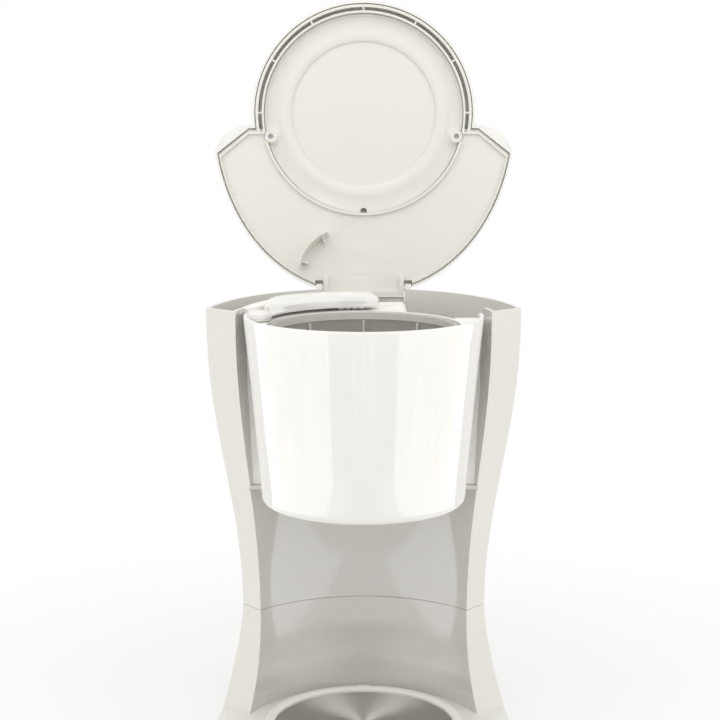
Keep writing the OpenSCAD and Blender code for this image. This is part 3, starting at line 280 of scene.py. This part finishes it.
rough_out = node_in(skin, "ShaderNodeMath", operation="MULTIPLY")
link_all(skin, ((coords.outputs["Object"], grain.inputs["Vector"]),
                (coords.outputs["Object"], waves.inputs["Vector"]),
                (skin_in.outputs["Grain scale"], grain.inputs["Scale"]),
                (waves.outputs["Fac"], bump_waves.inputs["Height"]),
                (skin_in.outputs["Waves"], bump_waves.inputs["Strength"]),
                (grain.outputs["Fac"], bump_grain.inputs["Height"]),
                (skin_in.outputs["Grain"], bump_grain.inputs["Strength"]),
                (bump_waves.outputs["Normal"], bump_grain.inputs["Normal"]),
                (bump_grain.outputs["Normal"], skin_out.inputs["Normal"]),
                (waves.outputs["Fac"], shade.inputs["Value"]),
                (skin_in.outputs["Colour"], tint.inputs["A"]),
                (shade.outputs["Result"], tint.inputs["B"]),
                (tint.outputs["Result"], skin_out.inputs["Colour"]),
                (grain.outputs["Fac"], rough.inputs["Value"]),
                (skin_in.outputs["Roughness"], rough_out.inputs[0]),
                (rough.outputs["Result"], rough_out.inputs[1]),
                (rough_out.outputs[0], skin_out.inputs["Roughness"])))
print("moulded skin:", len(skin.nodes), "shader nodes")

# %% [markdown]
# Each plastic differs in colour, gloss, grain and waves. The shell, the arm and the lid's top are
# polished in the mould and have no grain. The wall round the jug has a clear coat over a white that
# is painted greyer: painted shade for the hollow that the shell and the cheeks darken. The shelf is
# a whiter plastic, painted lighter still as painted light from above. The body is satin, the
# basket is painted a darker grey as painted shade inside it, and rubber is nearly matt.

# %% Plastics and rubber
def plastic(name, text, roughness, grain_amount, waves_amount, coat=0.0, specular=0.5):
    """A moulded plastic of one colour."""
    made = bpy.data.materials.new(name)
    made.use_nodes = True
    tree = made.node_tree
    shader = tree.nodes["Principled BSDF"]
    preset(shader, {"Coat Weight": coat, "Coat Roughness": 0.04, "Specular IOR Level": specular})
    cover = tree.nodes.new("ShaderNodeGroup")
    cover.node_tree = skin
    preset(cover, {"Colour": colour(text), "Roughness": roughness, "Grain": grain_amount,
                   "Waves": waves_amount})
    link_all(tree, ((cover.outputs["Colour"], shader.inputs["Base Color"]),
                    (cover.outputs["Roughness"], shader.inputs["Roughness"]),
                    (cover.outputs["Normal"], shader.inputs["Normal"])))
    return made


gloss_white = plastic("gloss_white_plastic", "#EEEDE9", 0.06, 0.0, 0.0)
cream = plastic("cream_plastic", "#E6E4DE", 0.36, 0.25, 0.02, specular=0.35)
# shelf white: a whiter plastic, painted lighter still as painted light from above
white_shelf_painted_light = plastic("white_shelf_painted_light_plastic", "#F8F7F3", 0.25, 0.15, 0.02)
# bay wall: its greyer white is painted shade for the hollow round the jug
bay_gloss_painted_shade = plastic("bay_wall_painted_shade_plastic", "#CFCDC8", 0.12, 0.05, 0.0, coat=1.0, specular=0.8)
lid_cream = plastic("lid_cream_plastic", "#E6E4DD", 0.34, 0.25, 0.02)
basket_white = plastic("basket_plastic", "#DAD8D2", 0.4, 0.3, 0.02)
# basket: its darker grey is painted shade for the inside of the basket
basket_painted_shade = plastic("basket_painted_shade_plastic", "#B1AEA8", 0.4, 0.3, 0.02)
ring_cream = plastic("plate_ring_plastic", "#EFEDE7", 0.3, 0.2, 0.02)
dark_plastic = plastic("dark_plastic", "#232323", 0.45, 0.5, 0.02)
rubber_black = plastic("black_rubber", "#1C1C1C", 0.75, 0.8, 0.02, specular=0.25)
hose_pale = plastic("pale_hose_rubber", "#D8D3C8", 0.5, 0.3, 0.02, specular=0.3)
print("plastics and rubbers:", skin.users)

# %% [markdown]
# ## Metal
# The hot plate is pressed steel under a grey coating. The sheet was spun as it was polished, so its
# gloss is stretched round the middle into bright wedges. The shader's Anisotropic value stretches
# it, and its Tangent socket takes the direction away from the axis. Very fine rings in the bump
# break up the highlight: the distance from the axis, put through a noise, draws them without a
# picture.

# %% Metals
RING_SCALE = 2500                       # noise waves in one metre of radius
RING_DEPTH = 0.12 * MM
FLATTEN = (1, 1, 0)                     # drops the height, and keeps the distance from the axis


def metal(name, text, roughness, metallic=1.0, ring_bump=0.0, centre=(0, 0, 0), spun=0.0):
    """A metal, with fine rings round an upright axis where it was turned or spun."""
    made = bpy.data.materials.new(name)
    made.use_nodes = True
    tree = made.node_tree
    shader = tree.nodes["Principled BSDF"]
    preset(shader, {"Base Color": colour(text), "Metallic": metallic, "Anisotropic": spun})
    coords = node_in(tree, "ShaderNodeTexCoord")
    shift = node_in(tree, "ShaderNodeMapping", vector_type="POINT")
    preset(shift, {"Location": [-c for c in centre]})
    flat = node_in(tree, "ShaderNodeVectorMath", {1: FLATTEN}, operation="MULTIPLY")
    reach = node_in(tree, "ShaderNodeVectorMath", operation="LENGTH")
    rings = node_in(tree, "ShaderNodeTexNoise", noise_dimensions="1D")
    preset(rings, {"Scale": RING_SCALE})
    spread = node_in(tree, "ShaderNodeMapRange",
                     {"To Min": roughness * 0.8, "To Max": roughness * 1.2})
    bump = node_in(tree, "ShaderNodeBump", {"Strength": ring_bump, "Distance": RING_DEPTH})
    link_all(tree, ((coords.outputs["Object"], shift.inputs["Vector"]),
                    (shift.outputs[0], flat.inputs[0]), (flat.outputs[0], reach.inputs[0]),
                    (reach.outputs["Value"], rings.inputs["W"]),
                    (rings.outputs["Fac"], spread.inputs["Value"]),
                    (spread.outputs["Result"], shader.inputs["Roughness"]),
                    (rings.outputs["Fac"], bump.inputs["Height"]),
                    (bump.outputs["Normal"], shader.inputs["Normal"])))
    if spun:
        tree.links.new(flat.outputs[0], shader.inputs["Tangent"])
    return made


AXIS = (0, BASKET_Y, 0)
plate_coat = metal("hot_plate_coating", "#B4B0AB", 0.5, 0.85, 0.15, AXIS, spun=0.95)
aluminium = metal("cast_aluminium", "#B9BABB", 0.45)
steel = metal("plated_steel", "#A9ABAD", 0.3)
print("metals:", [made.name for made in (plate_coat, aluminium, steel)])

# %% [markdown]
# ## Rounding what was drawn with sharp edges
# A real moulding has no razor edge: each one catches a thin highlight. The model's own meshes are
# loose triangles, so a copy is welded, its flat triangles are joined into larger faces, and a
# Bevel modifier rounds what is still sharp. The copy then stands for the model's piece. One shape
# is trimmed in its copy: the front corners of the shelf would show past the lips of the shell, so
# they are drawn in behind them.

# %% Finish a piece
WELD = 0.004 * MM                       # corners nearer than this are one corner
FLAT = math.radians(0.4)                # faces that meet at less than this are joined
KEEP_ANGLE = math.radians(32)           # an edge sharper than this is rounded
SHELF_HALF = 0.0788                     # how far out the shelf's front corners may reach
SHELF_FRONT, SHELF_TOP = 0.03, 0.3085   # the corners lie in front of and below these


def draw_in_corners(bm):
    """The shelf's front corners end behind the lips of the shell."""
    for vert in bm.verts:
        in_front = vert.co.y - BASKET_Y < SHELF_FRONT
        if abs(vert.co.x) > SHELF_HALF and in_front and vert.co.z < SHELF_TOP:
            vert.co.x = math.copysign(SHELF_HALF, vert.co.x)


def finish(node, material, body, bevel, second=None, where=None):
    """A welded, bevelled and smoothed copy of a piece of the model, which stands for it. Faces
    that pass the test in where take the second material."""
    mesh = nodes[node].data.copy()
    mesh.name = node + "_finished"
    mesh.materials.clear()
    mesh.materials.append(material)
    if second:
        mesh.materials.append(second)
    bm = bmesh.new()
    bm.from_mesh(mesh)
    bmesh.ops.remove_doubles(bm, verts=bm.verts, dist=WELD)
    bmesh.ops.dissolve_limit(bm, angle_limit=FLAT, verts=bm.verts, edges=bm.edges)
    if node == "well_tub":
        draw_in_corners(bm)
    for face in bm.faces:
        face.smooth = True
        face.material_index = 1 if second and where(face) else 0
    bm.to_mesh(mesh)
    bm.free()
    mesh.set_sharp_from_angle(angle=KEEP_ANGLE)
    made = bpy.data.objects.new(node + "_finished", mesh)
    scene.collection.objects.link(made)
    if bevel:
        rounding = made.modifiers.new("rounding", "BEVEL")
        rounding.width = bevel * MM
        rounding.segments = 2
        rounding.limit_method = "ANGLE"
        rounding.angle_limit = KEEP_ANGLE
        rounding.harden_normals = True
        rounding.use_clamp_overlap = True
    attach(made, body)
    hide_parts(node)
    return made


print("edges sharper than", round(math.degrees(KEEP_ANGLE)), "degrees are rounded")

# %% [markdown]
# ## One casing, two finishes
# The two halves of the housing are satin outside, but polished where they wrap round the jug and
# the shell, and there their white is painted greyer as painted shade for the hollow. Both finishes
# are on one moulding, so each face is tested: it takes the polish and the painted shade if it
# faces the basket's axis, and doesn't lie inside the water tank.

# %% Which faces are polished and painted greyer as shade
FACING_AXIS = 0.3                       # how squarely a polished face looks at the axis
UPRIGHT_ENOUGH = 0.7                    # a face steeper than this isn't wall but floor or roof
BAY_REAR = 0.075                        # the bay ends this far behind the axis
TANK_EDGE, TANK_SLANT = 0.098, 0.45     # the slanted line past which the tank begins


def faces_bay(face):
    """True for the hollow wall round the jug and round the shell, which is polished and painted
    greyer as painted shade.
    """
    centre = face.calc_center_median()
    away = Vector((centre.x, centre.y - BASKET_Y, 0))
    inward = -away.normalized().dot(face.normal)
    in_tank = abs(away.x) + TANK_SLANT * max(away.y, 0) > TANK_EDGE
    upright = abs(face.normal.z) < UPRIGHT_ENOUGH
    return inward > FACING_AXIS and away.y < BAY_REAR and upright and not in_tank


print("the polished wall ends", BAY_REAR, "m behind the axis")

# %% [markdown]
# ## Dressing the pieces that show
# The table gives each piece its material, the body it rides on and the width of its rounded edges
# in millimetres. The shell and the arm's dome are round already, so they get no bevel. The pieces
# that the sheen panels reach go into the collection of polished pieces.

# %% Finish the outer pieces
FINISHES = {
    "upper_housing": (cream, "housing", 0.5),
    "lower_housing": (cream, "housing", 0.5),
    "front_shell": (gloss_white, "housing", 0),
    "well_tub": (white_shelf_painted_light, "housing", 0.4),
    "hot_plate": (plate_coat, "housing", 0.3),
    "hot_plate_ring": (ring_cream, "housing", 0.4),
    "spout_arm_cover": (gloss_white, "arm", 0),
    "spout_arm_base": (gloss_white, "arm", 0.25),
    # the basket is painted darker grey as painted shade
    "filter_basket": (basket_painted_shade, "basket", 0.25),
    "lid_cover": (gloss_white, "lid", 0.5),
    "lid_frame": (lid_cream, "lid", 0.25),
    "lid_disc": (lid_cream, "lid", 0.25),
    "switch_bezel": (white_shelf_painted_light, "housing", 0.3),
    "switch_rocker": (white_shelf_painted_light, "rocker", 0.3),
}
TWO_FINISHES = {
    # the second finish polishes the bay wall and paints it greyer as painted shade
    "upper_housing": (bay_gloss_painted_shade, faces_bay),
    "lower_housing": (bay_gloss_painted_shade, faces_bay),
}
SHEEN_ON = ("front_shell", "spout_arm_cover", "hot_plate")
for node, (material, body, bevel) in FINISHES.items():
    second, where = TWO_FINISHES.get(node, (None, None))
    made = finish(node, material, body, bevel, second, where)
    if node in SHEEN_ON:
        polished.objects.link(made)
    other = sum(1 for face in made.data.polygons if face.material_index)
    print(node, "faces", len(made.data.polygons), "of them in the second finish", other)

# %% [markdown]
# ## The pieces that stay as they are
# What is hidden or small keeps its own mesh and only gets its finish. The level window is the one
# clear piece, so it has a shader of its own with most of its light passing through.

# %% Finishes of the other pieces
clear = bpy.data.materials.new("clear_window")
clear.use_nodes = True
preset(clear.node_tree.nodes["Principled BSDF"],
       {"Base Color": colour("#E4ECEC"), "Transmission Weight": 0.8, "Roughness": 0.12})
KEPT = {
    "base_plate": cream, "rubber_feet": rubber_black, "base_screws": steel, "level_window": clear,
    "heating_element": aluminium, "heater_clamp": steel, "heater_screws": steel,
    "thermostat": dark_plastic, "thermal_fuse": basket_white, "cold_hose": hose_pale,
    "check_valve_body": white_shelf_painted_light, "check_valve_ball": steel, "tank_strainer": white_shelf_painted_light,
    "hot_hose": hose_pale, "riser_tube": basket_white, "drip_stop_plunger": white_shelf_painted_light,
    "drip_stop_spring": steel, "drip_stop_seal": rubber_black, "lid_screws": steel,
    "switch_body": dark_plastic, "terminal_block": basket_white, "cord_gland": rubber_black,
}
for node, material in KEPT.items():
    kept = nodes[node]
    for material_slot in kept.material_slots:
        material_slot.material = material
    if not kept.material_slots:
        kept.data.materials.append(material)
print("kept pieces:", len(KEPT))

# %% [markdown]
# ## Small marks that stand on curved walls
# The tank's wall curves in two directions, so a mark can't be set there by a guess. A ray is cast
# at the finished wall, and the spot and the direction that it finds carry the mark. Each mark is a
# cube that is stretched, rounded with a bevel, and sunk a little into the wall.

# %% Set a small bar on a surface
from mathutils.bvhtree import BVHTree

EDGE_ROUND = 0.2 * MM                   # the rounding of a small bar's edges
DEPTH = 0.7 * MM                        # half the thickness of a mark; most of it is in the wall


def surface(name):
    """A finished piece as something that rays can hit."""
    bm = bmesh.new()
    bm.from_mesh(bpy.data.objects[name].data)
    tree = BVHTree.FromBMesh(bm)
    bm.free()
    return tree


def bar(bm, size, turn):
    """Add a rounded bar of a given size, placed by a matrix."""
    verts = bmesh.ops.create_cube(bm, size=1)["verts"]
    bmesh.ops.scale(bm, vec=size, verts=verts)
    bmesh.ops.transform(bm, matrix=turn, verts=verts)
    edges = list(dict.fromkeys(edge for vert in verts for edge in vert.link_edges))
    bmesh.ops.bevel(bm, geom=edges, offset=EDGE_ROUND, offset_type="OFFSET", segments=2,
                    profile=0.5, affect="EDGES", material=-1)


def bar_on(bm, tree, origin, direction, length, height, proud):
    """Add a bar where a ray meets the surface; it stands proud of it by the given amount."""
    spot, normal, _, _ = tree.ray_cast(Vector(origin), Vector(direction))
    side = Vector((0, 0, 1)).cross(normal).normalized()
    turn = Matrix((side, normal.cross(side), normal)).transposed().to_4x4()
    turn.translation = spot + normal * (proud - DEPTH)
    bar(bm, (length, height, 2 * DEPTH), turn)


def piece(name, bm, material, body):
    """Turn a bmesh into a piece of the object that rides on a body."""
    bmesh.ops.recalc_face_normals(bm, faces=bm.faces)
    mesh = bpy.data.meshes.new(name)
    bm.to_mesh(mesh)
    bm.free()
    mesh.materials.append(material)
    made = bpy.data.objects.new(name, mesh)
    scene.collection.objects.link(made)
    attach(made, body)
    print(name, "faces", len(mesh.polygons))
    return made


print("marks are", 2 * DEPTH, "m thick")

# %% [markdown]
# The window's scale is five raised bars in front of it, long and short by turns. Their heights are
# shares of the window's own height, so they move with it if the window changes.

# %% Level marks beside the window
MARKS = 5
LONG_MARK, SHORT_MARK = (0.006, 0.0055), (0.004, 0.0045)     # length, and distance in front
MARK_HEIGHT, MARK_PROUD = 0.0009, 0.0003
START_X, LEFTWARDS = 0.3, (-1, 0, 0)    # rays start to the right of the machine and go left
window_low, window_high = (Vector(corner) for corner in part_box("level_window"))
wall = surface("upper_housing_finished")
bm = bmesh.new()
for i in range(MARKS):
    z = window_low.z + (window_high.z - window_low.z) * (i + 0.5) / MARKS
    length, in_front = SHORT_MARK if i % 2 else LONG_MARK
    bar_on(bm, wall, (START_X, window_low.y - in_front, z), LEFTWARDS, length, MARK_HEIGHT,
           MARK_PROUD)
piece("level_marks", bm, dark_plastic, "housing")

# %% [markdown]
# The rocker carries the two signs that every such switch has: a bar for on and a ring for off. The
# ring is a small tube, made by turning a circle round with the spin operator.

# %% Signs on the rocker
BAR_SHARE, RING_SHARE = 0.74, 0.28      # how far up the rocker each sign is
BAR_WIDTH, BAR_HEIGHT, BAR_PROUD = 0.0008, 0.0028, 0.00015
RING_R, RING_TUBE = 0.0013, 0.0004
START_Y, BACKWARDS = -0.4, (0, 1, 0)    # rays start in front of the machine and go back
rocker_low, rocker_high = (Vector(corner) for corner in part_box("switch_rocker"))
rocker_face = surface("switch_rocker_finished")


def before_rocker(share):
    """A point in front of the middle of the rocker, at a share of its height."""
    z = rocker_low.z + (rocker_high.z - rocker_low.z) * share
    return Vector(((rocker_low.x + rocker_high.x) / 2, START_Y, z))


bm = bmesh.new()
bar_on(bm, rocker_face, before_rocker(BAR_SHARE), BACKWARDS, BAR_WIDTH, BAR_HEIGHT, BAR_PROUD)
spot, normal, _, _ = rocker_face.ray_cast(before_rocker(RING_SHARE), Vector(BACKWARDS))
ring = bmesh.ops.create_circle(bm, segments=12, radius=RING_TUBE)["verts"]
bmesh.ops.transform(bm, matrix=Matrix.Translation(spot + Vector((RING_R, 0, 0))), verts=ring)
edges = list(dict.fromkeys(edge for vert in ring for edge in vert.link_edges))
bmesh.ops.spin(bm, geom=ring + edges, cent=spot, axis=normal, angle=math.tau, steps=32,
               use_merge=True)
piece("rocker_signs", bm, dark_plastic, "rocker")

# %% [markdown]
# ## Small pieces round the hinge and in the basket
# The lid's face runs down between the hinge posts as a thin apron, and a low web behind the bar
# closes the foot of the notch. Both are bars like the marks: a cube that is stretched, placed and
# bevelled. The apron leans back with the open lid.

# %% Apron and web
HINGE_WIDE = 0.0584                     # across the hinge posts
LID_LEAN = Matrix.Rotation(math.radians(-9), 4, "X")
APRON_SIZE = (HINGE_WIDE - 0.004, 0.001, 0.0125)        # clear of the posts by 2 mm at each end
APRON_PLACE = (0, 0.0835, 0.3187)
WEB_SIZE = (HINGE_WIDE + 0.0006, 0.0016, 0.0034)        # its ends are sunk into the notch's sides
WEB_PLACE = (0, 0.0832, 0.3073)
bm = bmesh.new()
bar(bm, APRON_SIZE, Matrix.Translation(APRON_PLACE) @ LID_LEAN)
piece("lid_apron", bm, lid_cream, "lid")
bm = bmesh.new()
bar(bm, WEB_SIZE, Matrix.Translation(WEB_PLACE))
piece("notch_web", bm, cream, "housing")

# %% [markdown]
# Nine thin ribs stand up the basket's wall, so that the wet paper doesn't seal against it. Each is
# the same bar, leant outwards with the wall and turned round the basket's axis.

# %% Ribs in the basket
RIBS = 9
RIB_R = 0.0561                          # from the basket's axis to the middle of a rib
RIB_LOW, RIB_HIGH = 0.262, 0.3024
RIB_WIDE, RIB_DEEP = 0.0012, 0.0022
WALL_LEAN = Matrix.Rotation(-math.atan(0.07), 4, "X")        # the wall widens upwards
to_axis = Matrix.Translation(AXIS)
out_to_wall = Matrix.Translation((0, RIB_R, (RIB_LOW + RIB_HIGH) / 2))
bm = bmesh.new()
for i in range(RIBS):
    around = to_axis @ Matrix.Rotation(math.tau * i / RIBS, 4, "Z")
    bar(bm, (RIB_WIDE, RIB_DEEP, RIB_HIGH - RIB_LOW), around @ out_to_wall @ WALL_LEAN)
piece("basket_wall_ribs", bm, basket_white, "basket")

# %% [markdown]
# The top of the basket steps out to a short upright band. It keeps the basket's own pale white,
# while the rest of the basket is painted darker as painted shade. It is a thin hoop: an upright
# rectangle, turned round the basket's axis with spin.

# %% Band under the basket's rim
BAND_R, BAND_T = 0.0592, 0.0005         # its inner radius and thickness
BAND_LOW, BAND_HIGH = 0.3027, 0.3064
bm = bmesh.new()
corners = [bm.verts.new((0, BASKET_Y + r, z)) for r, z in (
    (BAND_R, BAND_LOW), (BAND_R + BAND_T, BAND_LOW),
    (BAND_R + BAND_T, BAND_HIGH), (BAND_R, BAND_HIGH))]
outline = [bm.edges.new((corners[i], corners[(i + 1) % 4])) for i in range(4)]
bmesh.ops.spin(bm, geom=corners + outline, cent=AXIS, axis=(0, 0, 1), angle=math.tau, steps=120,
               use_merge=True)
piece("basket_band", bm, basket_white, "basket")
